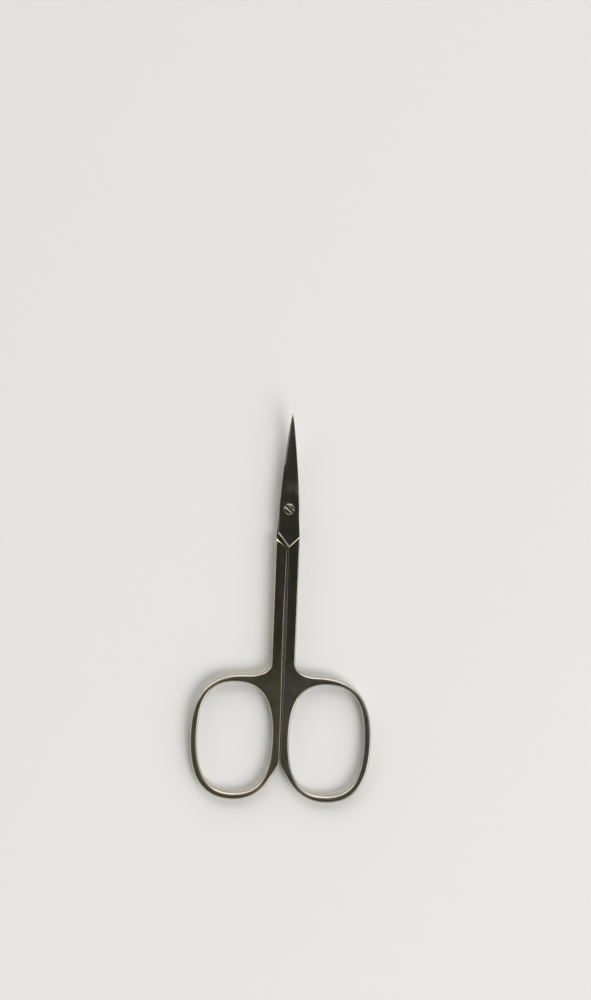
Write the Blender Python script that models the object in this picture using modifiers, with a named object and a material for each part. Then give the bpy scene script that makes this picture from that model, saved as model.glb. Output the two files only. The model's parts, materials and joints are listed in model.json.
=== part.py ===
"""Curved cuticle scissors, closed and lying flat, with the blade tips curving up.

Two crossed halves turn on one slotted pivot screw. Each half is laid out from the
pivot axis, with the tips towards +Y and the bows towards -Y. The front half is the
upper one: its bow is at +X and its blade has its spine at -X. The rear half is the
lower one, with the same outline mirrored. Lengths are in metres and +Z is up.
"""

import math

import bmesh
import bpy
import numpy as np
from mathutils import Matrix

# Reaches along the tool, from the pivot axis
TIP_REACH = 0.0218
BOW_REACH = 0.0671
SHANK_BOW = 0.0270
SHANK_START = 0.0090
VEE_TIP = 0.00875
VEE_SIDE = 0.0057
SHOULDER_TIP = 0.0094
SHOULDER_SIDE = 0.0065
PLATE_END = 0.0018

# Lengths of the bow, up from its end, and of the fillet that joins it to the shank
BOW_LENGTH = 0.02875
BOW_LOWER_LENGTH = 0.0143
PARTING_LENGTH = 0.0089
MEETING_LENGTH = 0.0171
FILLET_LENGTH = 0.00285

# Widths, from the centreline of the closed tool
BOW_HALF_SPAN = 0.0208
SHANK_HALF_SPAN = 0.00275
PLATE_HALF_WIDTH = 0.0023
BLADE_TIP_HALF_WIDTH = 0.00005

# Gaps between the closed halves
CONTACT_GAP = 0.00025
SHANK_GAP = 0.0007
MATING_GAP = 0.0001

# Metal round the finger hole
BAND_INNER = 0.00185
BAND_OUTER = 0.0017
BAND_TOP = 0.00175
BAND_BOTTOM = 0.00165

# Thicknesses
SHANK_THICKNESS = 0.0030
BOW_THICKNESS = 0.0022
PLATE_THICKNESS = 0.00125
SPINE_TIP_THICKNESS = 0.00035
EDGE_ROOT_THICKNESS = 0.00045
EDGE_TIP_THICKNESS = 0.0002

# Blade: the mating faces are flat near the pivot, then curve up on one arc
FLAT_RADIUS = 0.0040
CURVE_RADIUS = 0.038
PLUNGE_LENGTH = 0.0040
EDGE_INSET = 0.0001
SPINE_CHAMFER = 0.0003
GRINDING_STOCK = 0.0008
ROOT_INSET = 0.00003

# Small slopes cut where the shanks meet the joint
VEE_STEP_RUN = 0.0004
SHOULDER_CHAMFER = 0.0003

# Pivot screw and its holes
HEAD_RADIUS = 0.00125
HEAD_SEAT_DEPTH = 0.00065
HEAD_PROUD = 0.00008
HEAD_CHAMFER = 0.0001
SLOT_WIDTH = 0.00045
SLOT_DEPTH = 0.0004
JOURNAL_RADIUS = 0.0008
TAIL_PROUD = 0.00006
RUNNING_CLEARANCE = 0.00005
SLOT_TURN = math.radians(-40)

# Shape of the outlines, as shares of the stretch between two points
bow_round_share = 0.68
bow_lower_share = 0.50
bow_shoulder_share = 0.395
hole_round_share = 0.70
parting_handle_share = 0.41
fillet_down_share = 0.63
fillet_side_share = 0.66
straight_handle_share = 0.35
edge_rounding_share = 0.33
blade_taper_shares = (1.2, 0.8)
PARTING_ANGLE = math.radians(21)
RIM_ANGLE = math.radians(50)
SHARP_ANGLE = math.radians(32)

# Fineness of the surfaces
OUTLINE_STEPS = 14
ROUNDING_SEGMENTS = 3
BLADE_STATIONS = 22
ARC_STEPS = 14
TURNING_STEPS = 96
HOLE_SIDES = 48
WELD_DISTANCE = 0.000001
OVERRUN = 0.004

MID = SHANK_THICKNESS / 2
PIVOT_Y = (BOW_REACH - TIP_REACH) / 2
BOW_TOP = BOW_REACH - BOW_LENGTH
BOW_WIDEST = BOW_REACH - BOW_LOWER_LENGTH
BOW_PARTING = BOW_REACH - PARTING_LENGTH
BOW_MEETING = BOW_REACH - MEETING_LENGTH
FILLET_START = BOW_TOP - FILLET_LENGTH
FRONT, REAR = 1, -1

METALS = {
    "front_half": ((0.63, 0.60, 0.55, 1.0), 0.16),
    "rear_half": ((0.60, 0.58, 0.54, 1.0), 0.18),
    "pivot_screw": ((0.66, 0.64, 0.60, 1.0), 0.22),
}


def clear_scene():
    for thing in list(bpy.data.objects):
        bpy.data.objects.remove(thing, do_unlink=True)


def new_collection(name):
    collection = bpy.data.collections.new(name)
    bpy.context.scene.collection.children.link(collection)
    return collection


def plated_metal(name):
    """Polished nickel plate for one piece."""
    colour, roughness = METALS[name]
    material = bpy.data.materials.new(name + "_nickel")
    material.use_nodes = True
    shader = material.node_tree.nodes["Principled BSDF"]
    shader.inputs["Base Color"].default_value = colour
    shader.inputs["Metallic"].default_value = 1.0
    shader.inputs["Roughness"].default_value = roughness
    return material


def new_object(name, mesh, collection, pivot):
    """An object whose origin lies on the pivot axis, at the level of the table."""
    piece = bpy.data.objects.new(name, mesh)
    collection.objects.link(piece)
    piece.parent = pivot
    return piece


def as_cutter(tool):
    tool.hide_render = True
    tool.display_type = "WIRE"
    return tool


def boolean(piece, tool, operation):
    cut = piece.modifiers.new(tool.name, "BOOLEAN")
    cut.operation = operation
    cut.solver = "EXACT"
    cut.object = tool


def edge_shading():
    """A node group that shades every face smooth and keeps the edges sharp where two
    faces meet at more than SHARP_ANGLE."""
    group = bpy.data.node_groups.new("edge_shading", "GeometryNodeTree")
    group.is_modifier = True
    for direction in ("INPUT", "OUTPUT"):
        group.interface.new_socket("Geometry", in_out=direction, socket_type="NodeSocketGeometry")
    kinds = ("NodeGroupInput", "GeometryNodeInputMeshEdgeAngle", "FunctionNodeCompare",
             "GeometryNodeSetShadeSmooth", "GeometryNodeSetShadeSmooth", "NodeGroupOutput")
    start, angle, compare, faces, edges, end = [group.nodes.new(kind) for kind in kinds]
    compare.operation = "LESS_THAN"
    compare.inputs["B"].default_value = SHARP_ANGLE
    edges.domain = "EDGE"
    group.links.new(angle.outputs["Unsigned Angle"], compare.inputs["A"])
    group.links.new(start.outputs["Geometry"], faces.inputs["Geometry"])
    group.links.new(faces.outputs["Geometry"], edges.inputs["Geometry"])
    group.links.new(compare.outputs["Result"], edges.inputs["Shade Smooth"])
    group.links.new(edges.outputs["Geometry"], end.inputs["Geometry"])
    return group


def rise(radius):
    """Height of the mating surface over its flat centre: a circular arc that starts
    level at FLAT_RADIUS, so it is one turned surface round the pivot axis."""
    run = np.clip(np.asarray(radius, float) - FLAT_RADIUS, 0, CURVE_RADIUS)
    return CURVE_RADIUS - np.sqrt(CURVE_RADIUS**2 - run**2)


def flat_outline(name, splines, thickness):
    """A filled flat curve, extruded up from the table to a thickness, as a welded mesh.
    A spline is a list of (point, handle in, handle out), where None stands for a
    straight side and a handle is the offset from its point."""
    curve = bpy.data.curves.new(name, "CURVE")
    curve.dimensions = "2D"
    curve.fill_mode = "BOTH"
    curve.extrude = thickness / 2
    for anchors in splines:
        spline = curve.splines.new("BEZIER")
        spline.use_cyclic_u = True
        spline.resolution_u = OUTLINE_STEPS
        spline.bezier_points.add(len(anchors) - 1)
        for spot, (point, before, after) in zip(spline.bezier_points, anchors):
            spot.co = (point[0], point[1], 0)
            spot.handle_left_type = "VECTOR" if before is None else "FREE"
            spot.handle_right_type = "VECTOR" if after is None else "FREE"
            if before is not None:
                spot.handle_left = (point[0] + before[0], point[1] + before[1], 0)
            if after is not None:
                spot.handle_right = (point[0] + after[0], point[1] + after[1], 0)
    drawn = bpy.data.objects.new(name, curve)
    bpy.context.scene.collection.objects.link(drawn)
    bpy.context.view_layer.update()
    evaluated = drawn.evaluated_get(bpy.context.evaluated_depsgraph_get())
    mesh = bpy.data.meshes.new_from_object(evaluated)
    bpy.data.objects.remove(drawn, do_unlink=True)
    bpy.data.curves.remove(curve)
    solid = bmesh.new()
    solid.from_mesh(mesh)
    bmesh.ops.remove_doubles(solid, verts=solid.verts, dist=WELD_DISTANCE)
    bmesh.ops.translate(solid, verts=solid.verts, vec=(0, 0, thickness / 2))
    bmesh.ops.recalc_face_normals(solid, faces=solid.faces)
    solid.to_mesh(mesh)
    solid.free()
    return mesh


def prism(name, corners, low, high, lean, cutters, pivot):
    """A cutter over a straight-sided outline between two levels. Its face at the second
    level is moved along Y by lean, which slopes the walls."""
    mesh = flat_outline(name, [[(corner, None, None) for corner in corners]], abs(high - low))
    height = abs(high - low)
    for vertex in mesh.vertices:
        share = vertex.co.z / height
        vertex.co.z = low + share * (high - low)
        vertex.co.y += share * lean
    solid = bmesh.new()
    solid.from_mesh(mesh)
    bmesh.ops.recalc_face_normals(solid, faces=solid.faces)
    solid.to_mesh(mesh)
    solid.free()
    return as_cutter(new_object(name, mesh, cutters, pivot))


def finger_hole():
    """Left, right, low and high limits of the finger hole at +X."""
    left = CONTACT_GAP / 2 + BAND_INNER
    right = BOW_HALF_SPAN - BAND_OUTER
    return left, right, BAND_BOTTOM - BOW_REACH, -BOW_TOP - BAND_TOP


def bow_outline(hand):
    """The outer edge of the shank, the joint plate and the bow, then the finger hole."""
    left, right, low, high = finger_hole()
    middle = (left + right) / 2
    inner = CONTACT_GAP / 2
    shoulder_x = BOW_HALF_SPAN * bow_shoulder_share
    side_run, end_run = BOW_HALF_SPAN - middle, BOW_REACH - BOW_WIDEST
    top_run, top_rise = BOW_HALF_SPAN - shoulder_x, BOW_WIDEST - BOW_TOP
    parting = math.hypot(middle - inner, BOW_REACH - BOW_PARTING) * parting_handle_share
    parting_way = (math.sin(PARTING_ANGLE) * parting, -math.cos(PARTING_ANGLE) * parting)
    fillet_run, fillet_drop = shoulder_x - SHANK_HALF_SPAN, BOW_TOP - FILLET_START
    neck = (SHANK_START - PLATE_END) * straight_handle_share
    upper_gap = (SHANK_BOW - VEE_TIP) * straight_handle_share
    lower_gap = (BOW_MEETING - SHANK_BOW) * straight_handle_share
    outer = [
        ((inner, -BOW_PARTING), None, parting_way),
        ((middle, -BOW_REACH), (-(middle - inner) * bow_lower_share, 0), (side_run * bow_round_share, 0)),
        ((BOW_HALF_SPAN, -BOW_WIDEST), (0, -end_run * bow_round_share), (0, top_rise * bow_round_share)),
        ((shoulder_x, -BOW_TOP), (top_run * bow_round_share, 0), (-fillet_run * fillet_side_share, 0)),
        ((SHANK_HALF_SPAN, -FILLET_START), (0, -fillet_drop * fillet_down_share), None),
        ((SHANK_HALF_SPAN, -SHANK_START), None, (0, neck)),
        ((PLATE_HALF_WIDTH, 0), (0, -neck), None),
        ((PLATE_HALF_WIDTH, PLATE_END), None, None),
        ((-PLATE_HALF_WIDTH, PLATE_END), None, None),
        ((-PLATE_HALF_WIDTH, -VEE_SIDE), None, None),
        ((inner, -VEE_TIP), None, (0, -upper_gap)),
        ((SHANK_GAP / 2, -SHANK_BOW), (0, upper_gap), (0, -lower_gap)),
        ((inner, -BOW_MEETING), (0, lower_gap), None),
    ]
    reach_x = (middle - left) * hole_round_share
    reach_up = (high + BOW_WIDEST) * hole_round_share
    reach_down = (-low - BOW_WIDEST) * hole_round_share
    hole = [
        ((middle, low), (-reach_x, 0), (reach_x, 0)),
        ((right, -BOW_WIDEST), (0, -reach_down), (0, reach_up)),
        ((middle, high), (reach_x, 0), (-reach_x, 0)),
        ((left, -BOW_WIDEST), (0, reach_up), (0, -reach_down)),
    ]
    return [[mirrored(anchor, hand) for anchor in spline] for spline in (outer, hole)]


def mirrored(anchor, hand):
    return tuple(None if pair is None else (pair[0] * hand, pair[1]) for pair in anchor)


def handle_blank(name, hand, collection, pivot):
    """Bow, shank and joint plate at full thickness, with a top that slopes down to the
    bow and rounded rims."""
    mesh = flat_outline(name, bow_outline(hand), SHANK_THICKNESS)
    slope = (SHANK_THICKNESS - BOW_THICKNESS) / (BOW_REACH - SHANK_START)
    for vertex in mesh.vertices:
        if vertex.co.z > MID:
            vertex.co.z += slope * (vertex.co.y + SHANK_START)
    piece = new_object(name, mesh, collection, pivot)
    rounding = piece.modifiers.new("rounded_rims", "BEVEL")
    rounding.limit_method = "ANGLE"
    rounding.angle_limit = RIM_ANGLE
    rounding.width = edge_rounding_share * min(BAND_BOTTOM, BAND_OUTER, BOW_THICKNESS)
    rounding.segments = ROUNDING_SEGMENTS
    rounding.use_clamp_overlap = False
    piece.data.materials.append(plated_metal(name))
    return piece


def blade_half_width(reach):
    """Half width of the closed blades: a nearly straight taper that rounds in to the tip."""
    along, across = blade_taper_shares
    full = (1 - np.clip(reach / TIP_REACH, 0, 1) ** along) ** across
    return np.maximum(PLATE_HALF_WIDTH * full, BLADE_TIP_HALF_WIDTH)


def blade_blank(name, hand, cutters, pivot):
    """A loft along the blade: the outer face falls from the spine to the cutting edge,
    the spine is chamfered, and the mating side keeps stock for the grinding cut."""
    root = np.array([-PLATE_END, PLATE_END])
    reach = np.concatenate([root, np.linspace(PLATE_END + PLUNGE_LENGTH, TIP_REACH, BLADE_STATIONS)])
    in_plate = reach <= PLATE_END
    taper = np.clip(reach / TIP_REACH, 0, 1)
    width = blade_half_width(reach) - ROOT_INSET * in_plate
    spine = (PLATE_THICKNESS - ROOT_INSET) * (1 - taper) + SPINE_TIP_THICKNESS * taper
    edge = EDGE_ROOT_THICKNESS * (1 - taper) + EDGE_TIP_THICKNESS * taper
    edge = np.where(in_plate, spine, edge)
    chamfer = SPINE_CHAMFER * width / PLATE_HALF_WIDTH
    spine_x, edge_x = -width, width - np.minimum(EDGE_INSET, width / 2)
    stock = np.full_like(reach, -GRINDING_STOCK)
    section = [
        (spine_x, stock),
        (edge_x, stock),
        (edge_x, edge + MATING_GAP / 2),
        (spine_x + chamfer, spine + MATING_GAP / 2),
        (spine_x, spine - chamfer + MATING_GAP / 2),
    ]
    solid = bmesh.new()
    rings = []
    for x, lift in section:
        level = MID + rise(np.hypot(x, reach)) + hand * lift
        rings.append([solid.verts.new((hand * a, b, c)) for a, b, c in zip(x, reach, level)])
    sides = len(section)
    for station in range(len(reach) - 1):
        for side in range(sides):
            here, there = rings[side], rings[(side + 1) % sides]
            solid.faces.new((here[station], there[station], there[station + 1], here[station + 1]))
    solid.faces.new([ring[0] for ring in rings])
    solid.faces.new([ring[-1] for ring in rings])
    bmesh.ops.recalc_face_normals(solid, faces=solid.faces)
    mesh = bpy.data.meshes.new(name)
    solid.to_mesh(mesh)
    solid.free()
    return as_cutter(new_object(name, mesh, cutters, pivot))


def turned(name, profile, collection, pivot, steps):
    """A solid turned round the pivot axis from (radius, level) points that run from
    the top of the axis, out, down the outer side and back to the axis."""
    solid = bmesh.new()
    spots = [solid.verts.new((radius, 0, level)) for radius, level in profile]
    for here, there in zip(spots, spots[1:]):
        solid.edges.new((here, there))
    mesh = bpy.data.meshes.new(name)
    solid.to_mesh(mesh)
    solid.free()
    piece = new_object(name, mesh, collection, pivot)
    turning = piece.modifiers.new("turning", "SCREW")
    turning.axis = "Z"
    turning.steps = turning.render_steps = steps
    turning.use_merge_vertices = True
    turning.merge_threshold = WELD_DISTANCE
    return piece


def grinding_cutter(name, hand, cutters, pivot):
    """The space of the other half: all that lies beyond the mating surface, back to
    the shoulder that crosses the shank."""
    radius = np.linspace(FLAT_RADIUS, TIP_REACH + OVERRUN, ARC_STEPS)
    level = MID + rise(radius) + hand * MATING_GAP / 2
    surface = [(0, level[0])] + list(zip(radius.tolist(), level.tolist()))
    if hand == FRONT:
        far = -OVERRUN
        profile = surface + [(radius[-1], far), (0, far)]
    else:
        far = level[-1] + OVERRUN
        profile = [(0, far), (radius[-1], far)] + surface[::-1]
    cutter = as_cutter(turned(name, profile, cutters, pivot, TURNING_STEPS))
    plan = shoulder_corners(hand, TIP_REACH + 2 * OVERRUN)
    wall = prism(name + "_shoulder", plan, -2 * OVERRUN, level[-1] + 2 * OVERRUN, 0, cutters, pivot)
    boolean(cutter, wall, "INTERSECT")
    return cutter


def line_y(x, near, far):
    """Height at x of the straight line through two points."""
    return near[1] + (x - near[0]) * (far[1] - near[1]) / (far[0] - near[0])


def shoulder_corners(hand, far):
    """Plan of what lies on the blade's side of the shoulder across the shank, up to far."""
    tip, side = (CONTACT_GAP / 2, -SHOULDER_TIP), (SHANK_HALF_SPAN, -SHOULDER_SIDE)
    edge = SHANK_HALF_SPAN + OVERRUN
    wide = edge + TIP_REACH
    heel = line_y(edge, tip, side)
    corners = [(-wide, tip[1]), tip, (edge, heel), (wide, heel), (wide, far), (-wide, far)]
    return [(hand * x, y) for x, y in corners]


def vee_corners(hand):
    """Plan of the faced joint plate, which ends on the arm of the vee across the shank."""
    inner = CONTACT_GAP / 2
    tip, side = (inner, -VEE_TIP), (SHANK_HALF_SPAN, -SHOULDER_SIDE + VEE_STEP_RUN)
    edge = SHANK_HALF_SPAN + OVERRUN
    corners = [(-edge, -VEE_TIP), tip, (edge, line_y(edge, tip, side))]
    corners += [(edge, OVERRUN), (-edge, OVERRUN)]
    return [(hand * x, y) for x, y in corners]


def scissors_half(name, hand, collection, cutters, pivot):
    """One forging: the blank is faced over the joint plate, gets its blade, and is then
    ground to the mating surface and the shoulder."""
    half = handle_blank(name, hand, collection, pivot)
    face = MID + hand * (MATING_GAP / 2 + PLATE_THICKNESS)
    skin = MID + hand * MID
    plan, beyond = vee_corners(hand), 2 * skin - face
    facing = prism(name + "_facing", plan, face, beyond, -2 * VEE_STEP_RUN, cutters, pivot)
    boolean(half, facing, "DIFFERENCE")
    blade = blade_blank(name + "_blade", hand, cutters, pivot)
    boolean(half, blade, "UNION")
    boolean(half, grinding_cutter(name + "_grinding", hand, cutters, pivot), "DIFFERENCE")
    rim = MID - hand * (MID - SHOULDER_CHAMFER)
    beyond = MID - hand * (MID + SHOULDER_CHAMFER)
    plan = shoulder_corners(hand, 0)
    chamfer = prism(name + "_chamfer", plan, rim, beyond, -2 * SHOULDER_CHAMFER, cutters, pivot)
    boolean(half, chamfer, "DIFFERENCE")
    drill(half, "_bore", JOURNAL_RADIUS, -OVERRUN, cutters, pivot)
    return half


def drill(half, suffix, radius, low, cutters, pivot):
    """A round hole for a part of the screw of this radius, open to the top from a level."""
    wall, high = radius + RUNNING_CLEARANCE, SHANK_THICKNESS + OVERRUN
    profile = [(0, high), (wall, high), (wall, low), (0, low)]
    bit = as_cutter(turned(half.name + suffix, profile, cutters, pivot, HOLE_SIDES))
    boolean(half, bit, "DIFFERENCE")


def screw_levels():
    """Levels of the seat in the front plate, of the head's top and of the tail's end."""
    face = MID + MATING_GAP / 2 + PLATE_THICKNESS
    seat = face - HEAD_SEAT_DEPTH
    tail = MID - MATING_GAP / 2 - PLATE_THICKNESS - TAIL_PROUD
    return seat, face + HEAD_PROUD, tail


def pivot_screw(collection, cutters, pivot):
    """Cheese-head screw with a straight slot, its tail flush with the back."""
    seat, top, tail = screw_levels()
    profile = [
        (0, top),
        (HEAD_RADIUS - HEAD_CHAMFER, top),
        (HEAD_RADIUS, top - HEAD_CHAMFER),
        (HEAD_RADIUS, seat + RUNNING_CLEARANCE),
        (JOURNAL_RADIUS, seat + RUNNING_CLEARANCE),
        (JOURNAL_RADIUS, tail + HEAD_CHAMFER),
        (JOURNAL_RADIUS - HEAD_CHAMFER, tail),
        (0, tail),
    ]
    screw = turned("pivot_screw", profile, collection, pivot, HOLE_SIDES)
    mesh = bpy.data.meshes.new("screw_slot")
    blade = bmesh.new()
    size = Matrix.Diagonal((3 * HEAD_RADIUS, SLOT_WIDTH, 2 * SLOT_DEPTH, 1))
    place = Matrix.Translation((0, 0, top)) @ Matrix.Rotation(SLOT_TURN, 4, "Z") @ size
    bmesh.ops.create_cube(blade, size=1, matrix=place)
    blade.to_mesh(mesh)
    blade.free()
    boolean(screw, as_cutter(new_object("screw_slot", mesh, cutters, pivot)), "DIFFERENCE")
    screw.data.materials.append(plated_metal("pivot_screw"))
    return screw


def main():
    clear_scene()
    parts = new_collection("curved_cuticle_scissors")
    cutters = new_collection("cutters")
    pivot = bpy.data.objects.new("pivot_axis", None)
    parts.objects.link(pivot)
    pivot.location = (0, PIVOT_Y, 0)
    bpy.context.view_layer.update()
    front = scissors_half("front_half", FRONT, parts, cutters, pivot)
    rear = scissors_half("rear_half", REAR, parts, cutters, pivot)
    drill(front, "_seat", HEAD_RADIUS, screw_levels()[0], cutters, pivot)
    screw = pivot_screw(parts, cutters, pivot)
    shading = edge_shading()
    for piece in (front, rear, screw):
        piece.modifiers.new("edge_shading", "NODES").node_group = shading


main()
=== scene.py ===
"""Curved cuticle scissors: fine surfaces for the two halves and the pivot screw.

Each shape is worked out from the pivot axis, with the tips towards +Y and the bows
towards -Y, and is set at the pivot's place when its mesh is made. The front half is
drawn; the rear half is its mirror image in plan. Lengths are in metres.
"""
import json
import math

import bmesh
import bpy
import numpy as np
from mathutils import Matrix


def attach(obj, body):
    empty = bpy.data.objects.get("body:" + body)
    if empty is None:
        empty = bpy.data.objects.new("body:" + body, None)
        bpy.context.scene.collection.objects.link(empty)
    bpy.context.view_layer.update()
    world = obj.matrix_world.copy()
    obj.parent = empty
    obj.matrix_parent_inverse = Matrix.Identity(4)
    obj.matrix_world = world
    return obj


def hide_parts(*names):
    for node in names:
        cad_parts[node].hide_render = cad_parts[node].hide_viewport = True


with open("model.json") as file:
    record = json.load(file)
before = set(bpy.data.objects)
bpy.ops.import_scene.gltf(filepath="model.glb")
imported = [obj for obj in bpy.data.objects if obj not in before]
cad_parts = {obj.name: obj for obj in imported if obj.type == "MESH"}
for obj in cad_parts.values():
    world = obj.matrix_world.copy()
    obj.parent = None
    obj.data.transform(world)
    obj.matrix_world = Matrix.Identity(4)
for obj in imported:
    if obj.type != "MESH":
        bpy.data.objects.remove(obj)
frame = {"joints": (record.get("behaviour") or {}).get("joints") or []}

bl_info = {
    "name": "Curved Cuticle Scissors",
    "version": (1, 0, 0),
    "blender": (4, 5, 0),
    "location": "View3D > Sidebar > Scissors",
    "description": "Builds the halves, the screw and the studio of curved cuticle scissors",
    "category": "Add Mesh",
}

PIVOT = tuple(frame["joints"][0]["pos_m"])
FRONT, REAR = 1, -1

# Handles of the outline's curves, as shares of the stretch that each curve spans
BOW_ROUND_SHARE = 0.68
BOW_LOWER_SHARE = 0.50
HOLE_ROUND_SHARE = 0.70
PARTING_HANDLE_SHARE = 0.41
FILLET_DOWN_SHARE = 0.63
FILLET_SIDE_SHARE = 0.66
STRAIGHT_SHARE = 0.35

# Where the fillet ends on top of the bow, as a share of the half span
BOW_SHOULDER_SHARE = 0.395

# Where the strip's first row starts on the fillet, as a share of the fillet's points
FILLET_SPLIT_SHARE = 0.60

# Angle between the bow and the centreline where the bows part
PARTING_ANGLE = math.radians(21)

# Powers in the blade's taper, first along it and then across it
BLADE_TAPER_POWERS = (1.2, 0.8)

# Shares of the size that a fine form follows
RIM_DEPTH_SHARE = 0.9
BEVEL_SHARE = 0.55
BEVEL_START_SHARE = 0.8
NICK_SHARE = 0.5
BORE_RIM_SHARE = 0.7
BAND_CROWN_SHARE = 0.6
SHOULDER_DEPTH_SHARE = 0.62
VEE_RUN_SHARES = (0.65, 0.9)
VEE_INSET_SHARE = 1 / 3

# Least part of a ground face's direction that points up or down
FACING_SHARE = 0.3

# Fineness of the grids, in cells, points and passes
ACROSS = 20
BAND_CELLS = 12
RIM_CELLS = 8
WALL_CELLS = 2
BOW_CELLS = (70, 200)
DENSE = 400
BORE_RINGS = 4
HEAD_CHORDS = 16
DIRECTION_PASSES = 6

# Half the length of the block of the strip that is bored round the pivot
BORE_REACH = 0.0018

# Lengths too small to see, which keep rows apart or bring points together
SHOULDER_STEP = 0.000005
LEAST_FOOT = 4 * SHOULDER_STEP
SLOT_STEP = 0.000004
WELD = 0.000001
SLIVER = WELD / 10
TINY = 1e-12

# Largest angle between two faces that are shaded as one
SHARP = math.radians(24)

# Patterns in the metal: frequency per metre, its factors along X, Y and Z, and detail
PATCHES = (190.0, (1, 0.5, 1), 3.0)
STREAKS = (1100.0, (1, 0.06, 1), 0.0)
SMEARS = (420.0, (1, 1, 1), 1.0)
WAVES = (260.0, (1, 0.6, 1), 1.0)
BUFFING = (5200.0, (1, 0.05, 1), 3.0)
GRINDING = (22000.0, (0.03, 1, 1), 2.0)
BLADE_PATCHES = (300.0, (1, 1, 1), 3.0)
STAINS = (1500.0, (1, 1, 1), 3.0)

# Rings on the screw
RINGS_PER_METRE = 16000.0
RINGS_DETAIL = 2.0

# Turns of the patterns about Z
GRINDING_TURN = math.radians(-8)
REAR_PATTERN_TURN = 0.7

# The part of a pattern's range that is used, from its lowest to its highest value
PATCH_RANGE = (0.38, 0.62)
STREAK_RANGE = (0.12, 0.42)
STAIN_RANGE = (0.4, 0.65)
BLADE_PATCH_RANGE = (0.35, 0.65)
MIDDLE_RANGE = (0.3, 0.7)

# Levels from the pivot between which the finish turns from the shanks' to the bows'
DULL_ALONG = (-0.027, -0.041)

# Roughness and darkness as multiples of the finish's own values
POLISH_SHARES = (0.8, 1.35)
DULL_SHARES = (0.85, 1.2)
GRIND_SHARES = (0.8, 1.3)
GROUND_DARK_SHARE = 0.85
STAIN_DARK_SHARE = 0.62

# Lowest and highest roughness of the screw's rings
SCREW_ROUGHNESS = (0.20, 0.34)

# Relief of the metal: depth in metres, and strength
WAVE_RELIEF = (0.00007, 0.6)
GRINDING_RELIEF = (0.000001, 0.5)
RING_RELIEF = (0.000005, 0.6)

# Height of the buffing marks on the shanks, as a share of the waves' height
BUFFING_SHARE = 0.03

# Walls of the studio, in parts of a direction of length one
BROW_ALONG = (-0.5, 0.75)
BROW_HEIGHTS = (0.46, 0.90)
BROW_BAND = 0.2
FAR_WALL_ALONG = (0.4, 0.95)
NEAR_WALL_ALONG = (-0.2, -0.6)

# Lamps: place, side of the square, and whether the metal mirrors it
LAMPS = {
    "key": ((1.2, -1.4, 1.7), 1.4, False),
    "far": ((0.28, 1.12, 1.38), 0.6, True),
    "left": ((-1.3, 1.2, 1.0), 1.2, True),
    "right": ((1.7, -0.7, 1.0), 1.2, True),
}

# Floor and camera
FLOOR_ROUGHNESS = 0.9
FLOOR_SHEEN = 0.1
SENSOR_MM = 36.0
VIEW_LIMIT = 10.0


def length(label, size, words):
    """A length in metres that a user can change."""
    return bpy.props.FloatProperty(
        name=label, default=size, description=words, unit="LENGTH", precision=6, min=0.0
    )


def colour(label, shade, words):
    """A colour that a user can change."""
    return bpy.props.FloatVectorProperty(
        name=label, default=shade, description=words, subtype="COLOR", size=3, min=0.0, max=1.0
    )


def number(label, value, words):
    """A plain number that a user can change."""
    return bpy.props.FloatProperty(name=label, default=value, description=words, min=0.0)


class HandleSizes(bpy.types.PropertyGroup):
    """Sizes of the shank and the finger bow."""

    bow_reach: length("Bow reach", 0.0671, "From the pivot to the end of the bows")
    bow_length: length("Bow length", 0.02875, "Length of a bow along the tool")
    lower_length: length("Lower length", 0.0143, "From the bow's end up to where it is widest")
    parting_length: length("Parting length", 0.0089, "From the bow's end up to where the bows part")
    meeting_length: length("Meeting length", 0.0171, "From the bow's end up to where the bows meet")
    fillet_length: length("Fillet length", 0.00285, "Length of the fillet between shank and bow")
    half_span: length("Half span", 0.0208, "From the centreline to the outer edge of a bow")
    shank_half_span: length("Shank half span", 0.00275, "From the centreline to a shank's edge")
    shank_bow: length("Widest gap", 0.0270, "From the pivot to where the shanks stand widest apart")
    shank_start: length("Shank start", 0.0090, "From the pivot to where the shank's sides are straight")
    contact_gap: length("Contact gap", 0.00025, "Gap between the halves where they nearly touch")
    shank_gap: length("Shank gap", 0.0007, "Widest gap between the shanks")
    band_inner: length("Inner band", 0.00185, "Width of the bow's band at the centreline")
    band_outer: length("Outer band", 0.0017, "Width of the bow's band on its outer side")
    band_top: length("Top band", 0.00175, "Width of the bow's band at its top")
    band_bottom: length("Bottom band", 0.00165, "Width of the bow's band at its end")
    shank_thickness: length("Shank thickness", 0.0030, "Thickness of the shank next to the joint")
    bow_thickness: length("Bow thickness", 0.0022, "Thickness at the end of the bow")
    bow_rim: length("Bow rim", 0.00052, "Width of the rounded rims of a bow")
    hole_rim: length("Hole rim", 0.00050, "Width of the rounded rims of a finger hole")
    low_rim: length("Low rim", 0.00070, "Width of a finger hole's rounded rim at its low end")
    shank_rim: length("Shank rim", 0.00040, "Width of the rounded rims on a shank's outer side")
    inner_rim: length("Inner rim", 0.00017, "Width of the rounded rims on a shank's inner side")
    under_rim: length("Under rim", 0.00035, "Width of the rounded rims underneath")
    crown: length("Crown", 0.00004, "Height of the crown across the flat of shank and band")


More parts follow.
